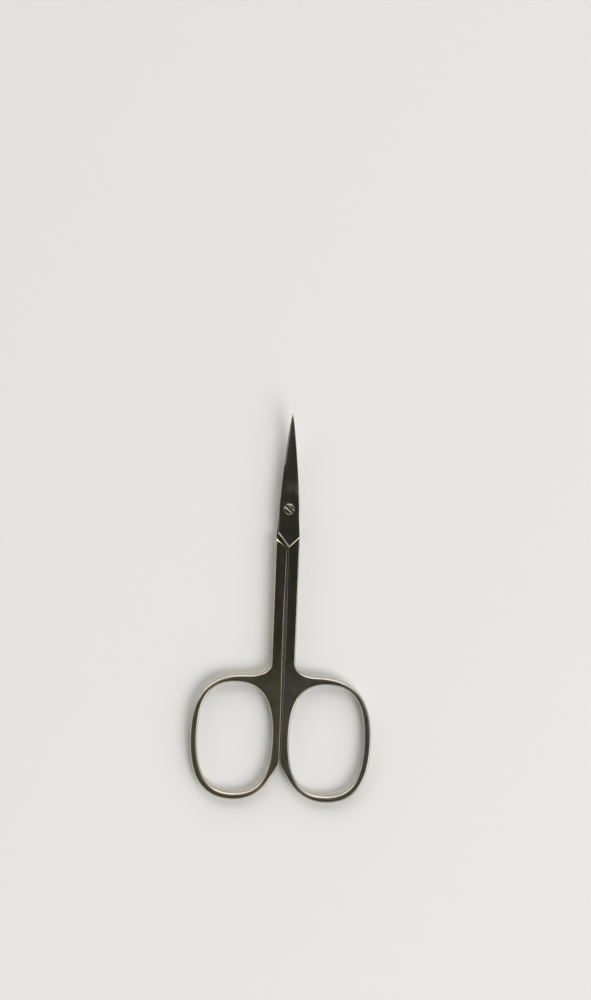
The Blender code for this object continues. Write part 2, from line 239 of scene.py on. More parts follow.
class BladeSizes(bpy.types.PropertyGroup):
    """Sizes of the joint plate and the blade."""

    tip_reach: length("Tip reach", 0.0218, "From the pivot to the tips")
    plate_end: length("Plate end", 0.0018, "From the pivot to the end of the joint plate")
    half_width: length("Half width", 0.0023, "Half the width of the joint plate")
    tip_half_width: length("Tip half width", 0.00005, "Half the width of the blade's tip")
    plate_thickness: length("Plate thickness", 0.00125, "Thickness of the joint plate")
    spine_tip: length("Spine at the tip", 0.00035, "Thickness of the spine at the tip")
    edge_root: length("Edge at the root", 0.00045, "Thickness next to the cutting edge at its root")
    edge_tip: length("Edge at the tip", 0.0002, "Thickness next to the cutting edge at the tip")
    flat_radius: length("Flat radius", 0.0040, "Radius round the pivot where the mating faces are flat")
    curve_radius: length("Curve radius", 0.038, "Radius of the blades' upward curve")
    mating_gap: length("Mating gap", 0.0001, "Gap between the mating faces")
    edge_inset: length("Edge inset", 0.0001, "How far a cutting edge lies inside the other half's spine")
    plunge_side: length("Plunge at the edge", 0.0017, "From the pivot to the slope's start at the edge")
    plunge_spine: length("Plunge at the spine", 0.0048, "From the pivot to the slope's start at the spine")
    plunge_run: length("Plunge run", 0.0058, "Length of the slope from plate to ground face")
    spine_bevel: length("Spine bevel", 0.00040, "Width of the bevel along the spine")
    bevel_start: length("Bevel start", 0.0086, "From the pivot to the start of the spine's bevel")
    bevel_tick: length("Bevel tick", 0.00014, "Length over which the spine's bevel sets in")
    bevel_full: length("Bevel full", 0.0101, "From the pivot to where the spine's bevel is full")
    spine_slope: number("Spine slope", 0.8, "Drop of the spine's bevel over its width")
    vee_tip: length("Vee tip", 0.00875, "From the pivot to the point of the vee across the shanks")
    vee_side: length("Vee side", 0.0057, "From the pivot to the outer end of the vee's left arm")
    vee_run: length("Vee run", 0.00040, "Length of the slope on the vee's arm")
    arm_bevel: length("Arm bevel", 0.00034, "Width of the flat bevel along the vee's left arm")
    arm_slope: number("Arm slope", 0.72, "Drop of the arm's bevel over its width")
    shoulder_tip: length("Shoulder tip", 0.0094, "From the pivot to the shoulder's inner end")
    shoulder_side: length("Shoulder side", 0.0065, "From the pivot to the shoulder's outer end")
    shoulder_round: length("Shoulder rounding", 0.0014, "Rounding of the shoulder at its outer end")
    shoulder_break: length("Shoulder break", 0.00004, "Rounding of the shoulder at its inner end")
    plate_rim: length("Plate rim", 0.00014, "Width of the rounded rims of the joint plate")
    edge_rim: length("Edge rim", 0.00003, "Width of the rim along a cutting edge")
    tip_rim: length("Tip rim", 0.000015, "Width of the rims at the tip")


class ScrewSizes(bpy.types.PropertyGroup):
    """Sizes of the pivot screw and its holes."""

    head_radius: length("Head radius", 0.00125, "Radius of the screw's head")
    seat_depth: length("Seat depth", 0.00065, "Depth of the head's seat below the plate's face")
    proud: length("Proud", 0.00008, "Height of the head over the plate's face")
    head_round: length("Head round", 0.00034, "Width of the rounding of the head's rim")
    head_drop: length("Head drop", 0.00014, "Depth of the rounding of the head's rim")
    head_crown: length("Head crown", 0.00018, "Height of the crown across the head")
    slot_width: length("Slot width", 0.00045, "Width of the slot")
    slot_depth: length("Slot depth", 0.0004, "Depth of the slot")
    slot_lip: length("Slot lip", 0.00022, "Width of the broken edges of the slot")
    slot_fall: length("Slot fall", 0.00015, "Depth of the broken edges of the slot")
    journal_radius: length("Journal radius", 0.0008, "Radius of the screw's shaft")
    tail_proud: length("Tail proud", 0.00006, "Height of the tail beyond the rear plate")
    clearance: length("Clearance", 0.00005, "Clearance round the screw")
    edge_break: length("Edge break", 0.00004, "Width of the broken edge of a hole")
    slot_turn: bpy.props.FloatProperty(
        name="Slot turn", default=math.radians(-40), description="Turn of the slot",
        subtype="ANGLE", unit="ROTATION",
    )


class NickelFinish(bpy.types.PropertyGroup):
    """Colours and polish of the nickel plate."""

    warm: colour("Warm nickel", (0.60, 0.555, 0.475), "Main colour of the polished nickel")
    green: colour("Shaded nickel", (0.50, 0.485, 0.42), "Colour of the duller patches")
    olive: colour("Olive nickel", (0.54, 0.50, 0.36), "Colour of the rear half's duller patches")
    ground: colour("Ground nickel", (0.50, 0.465, 0.41), "Colour of the ground blade faces")
    screw: colour("Screw nickel", (0.62, 0.585, 0.52), "Colour of the screw")
    polish: number("Polish", 0.17, "Roughness of the polished nickel")
    grind: number("Grind", 0.20, "Roughness of the ground faces")
    dull: number("Dull", 0.15, "Extra roughness of the bows")


class StudioLook(bpy.types.PropertyGroup):
    """Floor, light and camera."""

    floor_colour: colour("Floor", (0.80, 0.80, 0.79), "Colour of the floor")
    floor_half: length("Floor half width", 0.9, "Half the width of the floor")
    floor_drop: length("Floor drop", 0.00005, "How far the floor lies under the tool")
    zenith: colour("Zenith", (0.038, 0.037, 0.030), "Colour of the dark ceiling")
    horizon: colour("Horizon", (1.0, 0.975, 0.95), "Colour of the walls")
    far_wall: number("Far wall", 1.65, "Strength of the wall beyond the tips")
    near_wall: number("Near wall", 0.9, "Strength of the wall beyond the bows")
    side_wall: number("Side wall", 0.6, "Strength of the walls on the left and right")
    key_watts: number("Key lamp", 40.0, "Power of the lamp that lights the floor")
    far_watts: number("Far lamp", 3.8, "Power of the lamp beyond the tips")
    left_watts: number("Left lamp", 4.5, "Power of the lamp on the left")
    right_watts: number("Right lamp", 11.0, "Power of the lamp on the right")
    view_height: length("View height", 0.2297, "Height of the picture on the table")
    view_x: bpy.props.FloatProperty(
        name="View X", default=0.00134, description="Centre of the picture from the pivot",
        unit="LENGTH", precision=6,
    )
    view_y: bpy.props.FloatProperty(
        name="View Y", default=0.00207, description="Centre of the picture from the pivot",
        unit="LENGTH", precision=6,
    )
    view_turn: bpy.props.FloatProperty(
        name="View turn", default=math.radians(2.2), description="Turn of the picture",
        subtype="ANGLE", unit="ROTATION",
    )
    lens_mm: number("Lens", 150.0, "Focal length in millimetres")


GROUPS = {
    "scissors_handle": HandleSizes,
    "scissors_blade": BladeSizes,
    "scissors_screw": ScrewSizes,
    "scissors_finish": NickelFinish,
    "scissors_studio": StudioLook,
}


def sizes(context):
    """Handle, blade and screw sizes of this scene."""
    scene = context.scene
    return scene.scissors_handle, scene.scissors_blade, scene.scissors_screw


# Curves in plan


def cubic(start, leave, arrive, end, cells):
    """Points of a cubic curve: the four control points weighted by (1-t)^3, 3t(1-t)^2,
    3t^2(1-t) and t^3, with t from 0 to 1 in equal steps."""
    t = np.linspace(0, 1, cells + 1)[:, None]
    weights = ((1 - t) ** 3, 3 * t * (1 - t) ** 2, 3 * t**2 * (1 - t), t**3)
    points = (start, leave, arrive, end)
    return sum(weight * np.asarray(point, float) for weight, point in zip(weights, points))


def straight(start, end, cells):
    """Points in equal steps on the line from start to end."""
    t = np.linspace(0, 1, cells + 1)[:, None]
    return (1 - t) * np.asarray(start, float) + t * np.asarray(end, float)


def bow_marks(h):
    """Levels of the bow along the tool and the middle and limits of its finger hole."""
    low = -h.bow_reach
    left, right = h.contact_gap / 2 + h.band_inner, h.half_span - h.band_outer
    return {
        "top": low + h.bow_length,
        "widest": low + h.lower_length,
        "parting": low + h.parting_length,
        "meeting": low + h.meeting_length,
        "fillet": low + h.bow_length + h.fillet_length,
        "left": left,
        "right": right,
        "middle": (left + right) / 2,
        "hole_low": low + h.band_bottom,
        "hole_high": low + h.bow_length - h.band_top,
        "shoulder": h.half_span * BOW_SHOULDER_SHARE,
    }


def fillet_curve(h):
    """The fillet from the top of the bow up to the shank's outer side."""
    m = bow_marks(h)
    run, drop = m["shoulder"] - h.shank_half_span, m["fillet"] - m["top"]
    start, end = (m["shoulder"], m["top"]), (h.shank_half_span, m["fillet"])
    leave = (start[0] - run * FILLET_SIDE_SHARE, start[1])
    arrive = (end[0], end[1] - drop * FILLET_DOWN_SHARE)
    return cubic(start, leave, arrive, end, DENSE)


def inner_side(h, b):
    """The edge along the centreline, from the vee's point down to the parting."""
    m, gap, near = bow_marks(h), h.shank_gap / 2, h.contact_gap / 2
    upper = (h.shank_bow - b.vee_tip) * STRAIGHT_SHARE
    lower = (-m["meeting"] - h.shank_bow) * STRAIGHT_SHARE
    top, wide, meet = (near, -b.vee_tip), (gap, -h.shank_bow), (near, m["meeting"])
    first = cubic(top, (near, top[1] - upper), (gap, wide[1] + upper), wide, DENSE)
    second = cubic(wide, (gap, wide[1] - lower), (near, meet[1] + lower), meet, DENSE)
    return np.vstack([first, second[1:], [(near, m["parting"])]])


def blade_half_width(b, reach):
    """Half width of the closed blades: 1 minus the reach's share to one power, raised
    to another, times the plate's half width, and never under the tip's."""
    along, across = BLADE_TAPER_POWERS
    share = np.clip(reach / b.tip_reach, 0, 1)
    return np.maximum(b.half_width * (1 - share**along) ** across, b.tip_half_width)


def left_x(h, b, y):
    """Spine side at a level: centreline edge, arm of the vee, plate's side, then spine."""
    inner = inner_side(h, b)[::-1]
    shank = np.interp(y, inner[:, 1], inner[:, 0])
    arm = np.interp(y, [-b.vee_tip, -b.vee_side], [h.contact_gap / 2, -b.half_width])
    return np.where(y < -b.vee_tip, shank, np.where(y < 0, arm, -blade_half_width(b, y)))


def right_x(h, b, y):
    """Edge side at a level: fillet, straight shank, neck, then the cutting edge."""
    fillet = fillet_curve(h)
    reach = (h.shank_start - b.plate_end) * STRAIGHT_SHARE
    low, high = (h.shank_half_span, -h.shank_start), (b.half_width, 0.0)
    neck = cubic(low, (low[0], low[1] + reach), (high[0], high[1] - reach), high, DENSE)
    outline = np.vstack([fillet, neck])
    handle = np.interp(y, outline[:, 1], outline[:, 0])
    width = blade_half_width(b, y)
    inset = b.edge_inset * smooth_share(y, 0.0, b.plate_end)
    return np.where(y < 0, handle, width - np.minimum(inset, width / 2))


def smooth_share(value, low, high):
    """0 below low, 1 above high, and 3t^2 - 2t^3 of the share t between them."""
    t = np.clip((value - low) / (high - low), 0, 1)
    return t * t * (3 - 2 * t)


def line_y(x, near, far):
    """Level at x of the straight line through two points, level with the first before it."""
    return near[1] + (np.maximum(x, near[0]) - near[0]) * (far[1] - near[1]) / (far[0] - near[0])


def vee_y(h, b, x):
    """Level of the vee's right arm, the plate's end on the outer face of a half."""
    inner = (h.contact_gap / 2, -b.vee_tip)
    return line_y(x, inner, (h.shank_half_span, -b.shoulder_side + b.vee_run))


def shoulder_y(h, b, x):
    """Level of the shoulder, where the shank's full thickness ends on the mating face."""
    inner = (h.contact_gap / 2, -b.shoulder_tip)
    return line_y(x, inner, (h.shank_half_span, -b.shoulder_side))


def shoulder_run(h, b, x):
    """Length of the shoulder's rounding, which widens with the cube of the share
    across the shank."""
    span = np.clip(x / h.shank_half_span, 0, 1)
    return b.shoulder_break + (b.shoulder_round - b.shoulder_break) * span**3


# Levels of the surfaces


def plunge_y(b, x):
    """Level where the slope to the ground face starts: a straight line that slants from
    the edge to the spine."""
    slant = (b.plunge_spine - b.plunge_side) / (2 * b.half_width)
    return b.plunge_side + (b.half_width - x) * slant


def arch(b, x, y):
    """Rise of the mating surface: an arc of the curve radius that starts level at the
    flat radius round the pivot."""
    run = np.clip(np.hypot(x, y) - b.flat_radius, 0, b.curve_radius)
    return b.curve_radius - np.sqrt(b.curve_radius**2 - run**2)


def blade_lift(b, x, y):
    """Thickness over the mating face: the plate's, less a ground slope that falls
    linearly from the spine to the edge and sets in along a slanting plunge line."""
    reach = np.clip((y - b.plate_end) / (b.tip_reach - b.plate_end), 0, 1)
    spine = b.plate_thickness * (1 - reach) + b.spine_tip * reach
    edge = b.edge_root * (1 - reach) + b.edge_tip * reach
    width = blade_half_width(b, y)
    across = np.clip((x + width) / (2 * width), 0, 1)
    start = plunge_y(b, x)
    ground = smooth_share(y, start, start + b.plunge_run)
    return spine - (spine - edge) * across * ground


def levels(h, b, x, y, hand):
    """Top and bottom level over a place in the front half's plan. The shank runs from
    the table to its sloping top; beyond the vee the outer face is the plate's or the
    blade's, and beyond the shoulder the other face is the mating surface. A straight
    slope joins the faces at the vee, and the shoulder is rounded by a quarter ellipse."""
    middle = h.shank_thickness / 2
    slope = (h.shank_thickness - h.bow_thickness) / (h.bow_reach - h.shank_start)
    crest = h.shank_thickness + slope * np.minimum(y + h.shank_start, 0)
    span = np.clip((x - h.contact_gap / 2) / (h.shank_half_span - h.contact_gap / 2), 0, 1)
    outer_side = crest if hand == FRONT else np.zeros_like(y)
    mating_side = np.zeros_like(y) if hand == FRONT else crest
    centre = middle + arch(b, x, y)
    face = middle + arch(b, x, np.maximum(y, 0)) + hand * (b.mating_gap / 2 + blade_lift(b, x, y))
    inner_run, outer_run = VEE_RUN_SHARES
    run = b.vee_run * (inner_run + (outer_run - inner_run) * span)
    climb = np.clip((vee_y(h, b, x) - y) / run, 0, 1)
    outer = face + (outer_side - face) * climb
    behind = shoulder_y(h, b, x) - y
    round_run = shoulder_run(h, b, x)
    close = 1 - np.clip(behind / round_run, 0, 1)
    fall = round_run * SHOULDER_DEPTH_SHARE * (1 - np.sqrt(1 - close**2))
    mating = np.where(behind > 0, mating_side + hand * fall, centre + hand * b.mating_gap / 2)
    return (outer, mating) if hand == FRONT else (mating, outer)


# Grids that cover one half


def stations(h, b):
    """Rows of the strip from the bow's root to the tip, as columns: level of the left
    and of the right end, rim widths of the outer face left and right, of the mating
    face left and right, and the share and the slope of a flat bevel in the left rim. A
    table of marks along the tool, whose third value is the number of rows up to it, is
    filled in between by straight lines. Rows lie along the shoulder and along the vee,
    and the first ones slant a little, by the gaps between the shanks. Also gives the
    two rows between which the strip is bored."""
    root = fillet_curve(h)[int(DENSE * FILLET_SPLIT_SHARE)]
    side = h.shank_half_span - b.vee_run * VEE_INSET_SHARE
    vee, shoulder = vee_y(h, b, side), shoulder_y(h, b, side)
    inner_run, outer_run = (b.vee_run * share for share in VEE_RUN_SHARES)
    vee_foot = max(vee - outer_run, shoulder + LEAST_FOOT)
    round_in, round_out = b.shoulder_break, shoulder_run(h, b, side)
    fillet, step, arm, inner = bow_marks(h)["fillet"], SHOULDER_STEP, b.arm_bevel, h.inner_rim
    bore, rim, plate, edge, bevel = BORE_REACH, h.shank_rim, b.plate_rim, b.edge_rim, b.spine_bevel
    neck = -h.shank_start - h.fillet_length
    corner = -b.vee_side + b.plate_thickness
    lean, nick, bored_rim = b.spine_slope, b.plate_rim * NICK_SHARE, b.plate_rim * BORE_RIM_SHARE
    tick, nick_start = b.bevel_start + b.bevel_tick, b.bevel_start + 2 * b.bevel_tick
    nick_end = b.bevel_full - b.bevel_tick
    marks = (
        (root[1] + h.shank_gap, root[1], 0, inner, rim, inner, rim, 0, 1),
        (fillet + h.contact_gap, fillet, 8, inner, rim, inner, rim, 0, 1),
        (neck, neck, 46, inner, rim, inner, rim, 0, 1),
        (-b.shoulder_tip - round_in, shoulder - round_out, 12, inner, rim, plate, rim, 0, 1),
        (-b.shoulder_tip - step, shoulder - step, 10, inner, rim, plate, plate, 0, 1),
        (-b.shoulder_tip + step, shoulder + step, 1, inner, rim, edge, edge, 0, 1),
        (-b.vee_tip - inner_run, vee_foot, 2, plate, rim, edge, edge, 0, 1),
        (-b.vee_tip, vee, 6, arm, plate, edge, edge, 1, b.arm_slope),
        (-b.vee_side, corner, 22, arm, plate, edge, edge, 1, b.arm_slope),
        (-b.vee_side + arm, corner + arm, 2, plate, plate, edge, edge, 0, 1),
        (-bore, -bore, 10, plate, plate, edge, edge, 0, lean),
        (bore, bore, 18, plate, bored_rim, edge, edge, 0, lean),
        (b.bevel_start, b.bevel_start, 28, plate, edge, edge, edge, 0, lean),
        (tick, tick, 2, bevel, edge, edge, edge, 1, lean),
        (nick_start, nick_start, 2, nick, edge, edge, edge, 0, lean),
        (nick_end, nick_end, 6, nick, edge, edge, edge, 0, lean),
        (b.bevel_full, b.bevel_full, 3, bevel * BEVEL_START_SHARE, edge, edge, edge, 1, lean),
        (b.tip_reach, b.tip_reach, 50, bevel, b.tip_rim, b.tip_rim, b.tip_rim, 1, lean),
    )
    marks = np.array(marks, float)
    at = np.cumsum(marks[:, 2])
    rows = np.arange(int(at[-1]) + 1)
    columns = [np.interp(rows, at, column) for column in np.delete(marks, 2, axis=1).T]
    return columns, at[np.abs(marks[:, 0]) == bore].astype(int)


def evenly(points, cells):
    """Points at equal steps of length along a line of dense points."""
    steps = np.hypot(*np.diff(points, axis=0).T)
    run = np.concatenate([[0], np.cumsum(steps)])
    at = np.linspace(0, run[-1], cells + 1)
    return np.column_stack([np.interp(at, run, points[:, 0]), np.interp(at, run, points[:, 1])])


def bow_edge(h, b, start, cells):
    """Outer edge of the bow: down the centreline from the strip's root, round the bow
    and up to the split of the fillet, in two runs that meet at the parting."""
    m, near = bow_marks(h), h.contact_gap / 2
    inner = inner_side(h, b)
    inner = np.vstack([[start], inner[inner[:, 1] < start[1]]])
    handle = math.hypot(m["middle"] - near, h.bow_reach + m["parting"]) * PARTING_HANDLE_SHARE
    parting, end = (near, m["parting"]), (m["middle"], -h.bow_reach)
    widest, top = (h.half_span, m["widest"]), (m["shoulder"], m["top"])
    leave = (near + math.sin(PARTING_ANGLE) * handle, m["parting"] - math.cos(PARTING_ANGLE) * handle)
    arrive = (end[0] - (end[0] - near) * BOW_LOWER_SHARE, end[1])
    side = (h.half_span - m["middle"]) * BOW_ROUND_SHARE
    low = (m["widest"] + h.bow_reach) * BOW_ROUND_SHARE
    rise = (m["top"] - m["widest"]) * BOW_ROUND_SHARE
    run = (h.half_span - m["shoulder"]) * BOW_ROUND_SHARE
    arcs = [
        cubic(parting, leave, arrive, end, DENSE),
        cubic(end, (end[0] + side, end[1]), (widest[0], widest[1] - low), widest, DENSE),
        cubic(widest, (widest[0], widest[1] + rise), (top[0] + run, top[1]), top, DENSE),
        fillet_curve(h)[: int(DENSE * FILLET_SPLIT_SHARE) + 1],
    ]
    outer = np.vstack([arcs[0]] + [arc[1:] for arc in arcs[1:]])
    return np.vstack([evenly(inner, cells[0])[:-1], evenly(outer, cells[1])])


def hole_edge(h, angles):
    """Edge of the finger hole in the given directions from its middle, read from four
    cubic quarters."""
    m = bow_marks(h)
    reach = (m["middle"] - m["left"]) * HOLE_ROUND_SHARE
    up = (m["hole_high"] - m["widest"]) * HOLE_ROUND_SHARE
    down = (m["widest"] - m["hole_low"]) * HOLE_ROUND_SHARE
    low, high = np.array((m["middle"], m["hole_low"])), np.array((m["middle"], m["hole_high"]))
    left, right = np.array((m["left"], m["widest"])), np.array((m["right"], m["widest"]))
    quarters = [
        cubic(right, right + (0, up), high + (reach, 0), high, DENSE),
        cubic(high, high - (reach, 0), left + (0, up), left, DENSE),
        cubic(left, left - (0, down), low - (reach, 0), low, DENSE),
        cubic(low, low + (reach, 0), right - (0, down), right, DENSE),
    ]
    loop = np.vstack(quarters)
    way = np.unwrap(np.arctan2(loop[:, 1] - m["widest"], loop[:, 0] - m["middle"]))
    turn = 2 * np.pi
    way, loop = np.concatenate([way - turn, way, way + turn]), np.vstack([loop, loop, loop])
    return np.column_stack([np.interp(angles, way, loop[:, 0]), np.interp(angles, way, loop[:, 1])])


def unit(vectors):
    """The vectors at length one."""
    return vectors / np.maximum(np.hypot(vectors[:, :1], vectors[:, 1:]), TINY)


def left_of(loop):
    """Unit directions to the left of a closed line of points."""
    way = np.roll(loop, -1, axis=0) - np.roll(loop, 1, axis=0)
    return unit(np.column_stack([-way[:, 1], way[:, 0]]))


def between(near, far, shares):
    """Grid of points on the straight lines from each near point to its far point."""
    t = np.asarray(shares)[None, :, None]
    return (1 - t) * near[:, None, :] + t * far[:, None, :]


def rim_sheet(h, b, hand, edge, inward, rims, flats, lean):
    """The section's outside carried along an edge: a quarter ellipse of the rim's width
    down from the top face, a straight wall, and a quarter ellipse to the face
    underneath. Each side's share in flats turns its ellipse into a flat bevel that
    drops by lean times its width. The rims shrink where the metal is too thin."""
    turn = np.linspace(0, np.pi / 2, RIM_CELLS + 1)
    round_in, round_down = 1 - np.sin(turn), 1 - np.cos(turn)
    flat_in, flat_down = 1 - turn * 2 / np.pi, turn * 2 / np.pi
    top, low = levels(h, b, edge[:, 0], edge[:, 1], hand)
    fit = np.minimum(1, RIM_DEPTH_SHARE * (top - low) / (rims[0] + rims[1]))
    parts = []
    for rim, side, flat in zip(rims, (0, 1), flats):
        flat, fall = flat[:, None], flat_down * lean[:, None]
        inset = rim[:, None] * ((1 - flat) * round_in + flat * flat_in)
        drop = (rim * fit)[:, None] * ((1 - flat) * round_down + flat * fall)
        place = edge[:, None, :] + inward[:, None, :] * inset[:, :, None]
        level = levels(h, b, place[..., 0], place[..., 1], hand)[side]
        level = level - drop if side == 0 else level + drop
        parts.append(np.dstack([place, level]))
    upper, lower = parts
    wall = between(upper[:, -1], lower[:, -1], np.linspace(0, 1, WALL_CELLS + 1)[1:-1])
    return np.concatenate([upper, wall, lower[:, ::-1]], axis=1)


def face_sheets(h, b, hand, near, far, cells, crown):
    """Top and bottom face over straight lines between two rows of places, the top with
    a parabolic crown: crown times 1 - (2t - 1)^2."""
    share = np.linspace(0, 1, cells + 1)
    sheets = []
    for side in (0, 1):
        place = between(near[side], far[side], share)
        level = levels(h, b, place[..., 0], place[..., 1], hand)[side]
        if side == 0:
            level = level + crown[:, None] * (1 - (2 * share - 1) ** 2)
        sheets.append(np.dstack([place, level]))
    return sheets


def border_of(sheet, rows, columns):
    """The closed border of a block of a grid."""
    block = sheet[rows[0]:rows[1] + 1, columns[0]:columns[1] + 1]
    return np.vstack([block[0, :-1], block[:-1, -1], block[-1, :0:-1], block[:0:-1, 0], block[:1, 0]])


def bored(border, way, radius, level):
    """Rings from a block's border straight in to a circle round the pivot, which is cut
    at the given directions."""
    circle = np.column_stack([radius * np.cos(way), radius * np.sin(way), np.full(len(way), level)])
    return between(border, circle, np.linspace(0, 1, BORE_RINGS + 1))


def bore_sheet(way, profile):
    """A turned wall: each (radius, level) of the profile carried round the pivot."""
    radius, level = np.array(profile).T
    x, y = np.cos(way)[:, None] * radius, np.sin(way)[:, None] * radius
    return np.dstack([x, y, np.broadcast_to(level, x.shape)])


def half_edge(h, b, lefts, rights):
    """Closed edge of a half and its inward directions. The edge runs up the right ends
    of the strip's rows, across the tip, down the left ends and round the bow. The
    directions follow the rows, and on the bow they are square to the edge, smoothed by
    passes with the weights 1, 2 and 1. Also gives the places in the edge where the left
    ends and the bow begin."""
    tip = straight(rights[-1], lefts[-1], ACROSS)[1:-1]
    bow = bow_edge(h, b, lefts[0], BOW_CELLS)[1:-1]
    edge = np.vstack([rights, tip, lefts[::-1], bow])
    rows = len(lefts)
    back, loop = rows + len(tip), 2 * rows + len(tip)
    across = unit(rights - lefts)
    inward = left_of(edge)
    inward[:rows] = -across
    inward[back:loop] = across[::-1]
    fixed = inward[:loop].copy()
    for _ in range(DIRECTION_PASSES):
        inward = unit((np.roll(inward, 1, axis=0) + 2 * inward + np.roll(inward, -1, axis=0)) / 4)
        inward[:loop] = fixed
    return edge, inward, back, loop


def bow_rims(h, bow):
    """Rim widths on top and underneath along the bow's outer edge: narrow along the
    centreline, the bow's own round it, and the shank's where the fillet ends."""
    run = np.concatenate([[0], np.cumsum(np.hypot(*np.diff(bow, axis=0).T))])
    outer_part = smooth_share(bow[:, 0], h.contact_gap, h.band_inner)
    ease_in = smooth_share(run, 0.0, h.fillet_length)
    ease_out = smooth_share(run[-1] - run, 0.0, h.fillet_length)
    top = h.shank_rim + (h.bow_rim - h.shank_rim) * ease_out
    low = h.shank_rim + (h.under_rim - h.shank_rim) * ease_out
    return h.inner_rim + (top - h.inner_rim) * outer_part, h.inner_rim + (low - h.inner_rim) * ease_in


def band_crown(h, places):
    """Height of the crown along the bow: full on the band, fading out at its root."""
    m = bow_marks(h)
    near_root = smooth_share(places[:, 1], m["top"], m["fillet"])
    return h.crown * BAND_CROWN_SHARE * (1 - near_root)


def bow_sheets(h, b, hand, loop_edge, loop_rims, strip):
    """The bow's grids: the wall of the finger hole with its rims, and the two faces of
    the band between the hole and the bow's outside, which across the root is the first
    row of the strip. The hole's rim widens with the square of the part of its direction
    that points to the bow's end."""
    roots = [sheet[0, ACROSS - 1:0:-1] for sheet in strip]
    outside = np.vstack([loop_edge, roots[0][:, :2]])
    m = bow_marks(h)
    angles = np.unwrap(np.arctan2(outside[:, 1] - m["widest"], outside[:, 0] - m["middle"]))
    hole = hole_edge(h, np.maximum.accumulate(angles))
    outward = -left_of(hole)
    count = len(hole)
    low_end = np.clip(-outward[:, 1], 0, 1) ** 2
    rims = (h.hole_rim + (h.low_rim - h.hole_rim) * low_end, np.full(count, h.under_rim))
    flat, lean = np.zeros(count), np.ones(count)
    closed = np.arange(count + 1) % count
    wall = rim_sheet(h, b, hand, hole, outward, rims, (flat, flat), lean)[closed]
    starts = [wall[:, 0, :2], wall[:, -1, :2]]
    stops = [np.vstack([rim, root[:, :2]])[closed] for rim, root in zip(loop_rims, roots)]
    crown = band_crown(h, outside[closed])
    band = face_sheets(h, b, hand, starts, stops, BAND_CELLS, crown)
    band[0][-ACROSS:-1, -1, 2] = roots[0][:, 2]
    return [wall, *band]


def bore_sheets(h, b, s, hand, strip, block):
    """The grids round the pivot: rings that open a block of either face of the strip to
    a circle, and the turned wall between them, with the head's seat in the front half."""
    journal = s.journal_radius + s.clearance
    seat = h.shank_thickness / 2 + b.mating_gap / 2 + b.plate_thickness - s.seat_depth
    top, low = (float(sheet[block[0][0], ACROSS // 2, 2]) for sheet in strip)
    if hand == FRONT:
        head = s.head_radius + s.clearance
        profile = [(head + s.edge_break, top), (head, top - s.edge_break), (head, seat), (journal, seat)]
    else:
        profile = [(journal + s.edge_break, top), (journal, top - s.edge_break)]
    profile += [(journal, low + s.edge_break), (journal + s.edge_break, low)]
    borders = [border_of(sheet, *block) for sheet in strip]
    way = np.arctan2(borders[0][:, 1], borders[0][:, 0])
    ends = (profile[0], profile[-1])
    rings = [bored(border, way, *end) for border, end in zip(borders, ends)]
    return [*rings, bore_sheet(way, profile)]


def half_sheets(context, hand):
    """All grids of one half, drawn in the front half's plan: the outside with its rims,
    the bow's grids, the bore's grids, and the strip's two faces, open at the bore."""
    h, b, s = sizes(context)
    (left, right, outer_l, outer_r, mate_l, mate_r, bevel, lean), bore_rows = stations(h, b)
    lefts = np.column_stack([left_x(h, b, left), left])
    rights = np.column_stack([right_x(h, b, right), right])
    slim = np.maximum(BEVEL_SHARE * blade_half_width(b, left), b.tip_rim)
    outer_l = np.where(left > b.bevel_start, np.minimum(outer_l, slim), outer_l)
    edge, inward, back, loop = half_edge(h, b, lefts, rights)
    rows = len(left)

    top_l, top_r = (outer_l, outer_r) if hand == FRONT else (mate_l, mate_r)
    low_l, low_r = (mate_l, mate_r) if hand == FRONT else (outer_l, outer_r)
    bow_top, bow_low = bow_rims(h, edge[loop:])
    tip = np.full(back - rows, b.tip_rim)
    top_rim = np.concatenate([top_r, tip, top_l[::-1], bow_top])
    low_rim = np.concatenate([low_r, tip, low_l[::-1], bow_low])
    plain, spine, leans = np.zeros(len(edge)), np.zeros(len(edge)), np.ones(len(edge))
    spine[back:loop] = bevel[::-1]
    leans[back:loop] = lean[::-1]
    flats = (spine, plain) if hand == FRONT else (plain, spine)
    outside = rim_sheet(h, b, hand, edge, inward, (top_rim, low_rim), flats, leans)
    rims = [outside[:, 0, :2], outside[:, -1, :2]]

    near = [rim[back:loop][::-1] for rim in rims]
    far = [rim[:rows] for rim in rims]
    crown = h.crown * smooth_share(-left, b.shoulder_tip, h.shank_start + h.fillet_length)
    strip = face_sheets(h, b, hand, near, far, ACROSS, crown)
    for side in (0, 1):
        tip_row = rims[side][rows:back][::-1]
        strip[side][-1, 1:-1, :2] = tip_row
        strip[side][-1, 1:-1, 2] = levels(h, b, tip_row[:, 0], tip_row[:, 1], hand)[side]

    around_bow = np.arange(loop - 1, len(edge) + 1) % len(edge)
    bow = bow_sheets(h, b, hand, edge[around_bow], [rim[around_bow] for rim in rims], strip)
    block = (bore_rows, (1, ACROSS - 1))
    bore = bore_sheets(h, b, s, hand, strip, block)
    skip = np.zeros((rows - 1, ACROSS), bool)
    skip[block[0][0]:block[0][1], block[1][0]:block[1][1]] = True
    whole = [np.concatenate([outside, outside[:1]]), *bow, *bore]
    return [(sheet, None) for sheet in whole] + [(sheet, skip) for sheet in strip]


# The screw


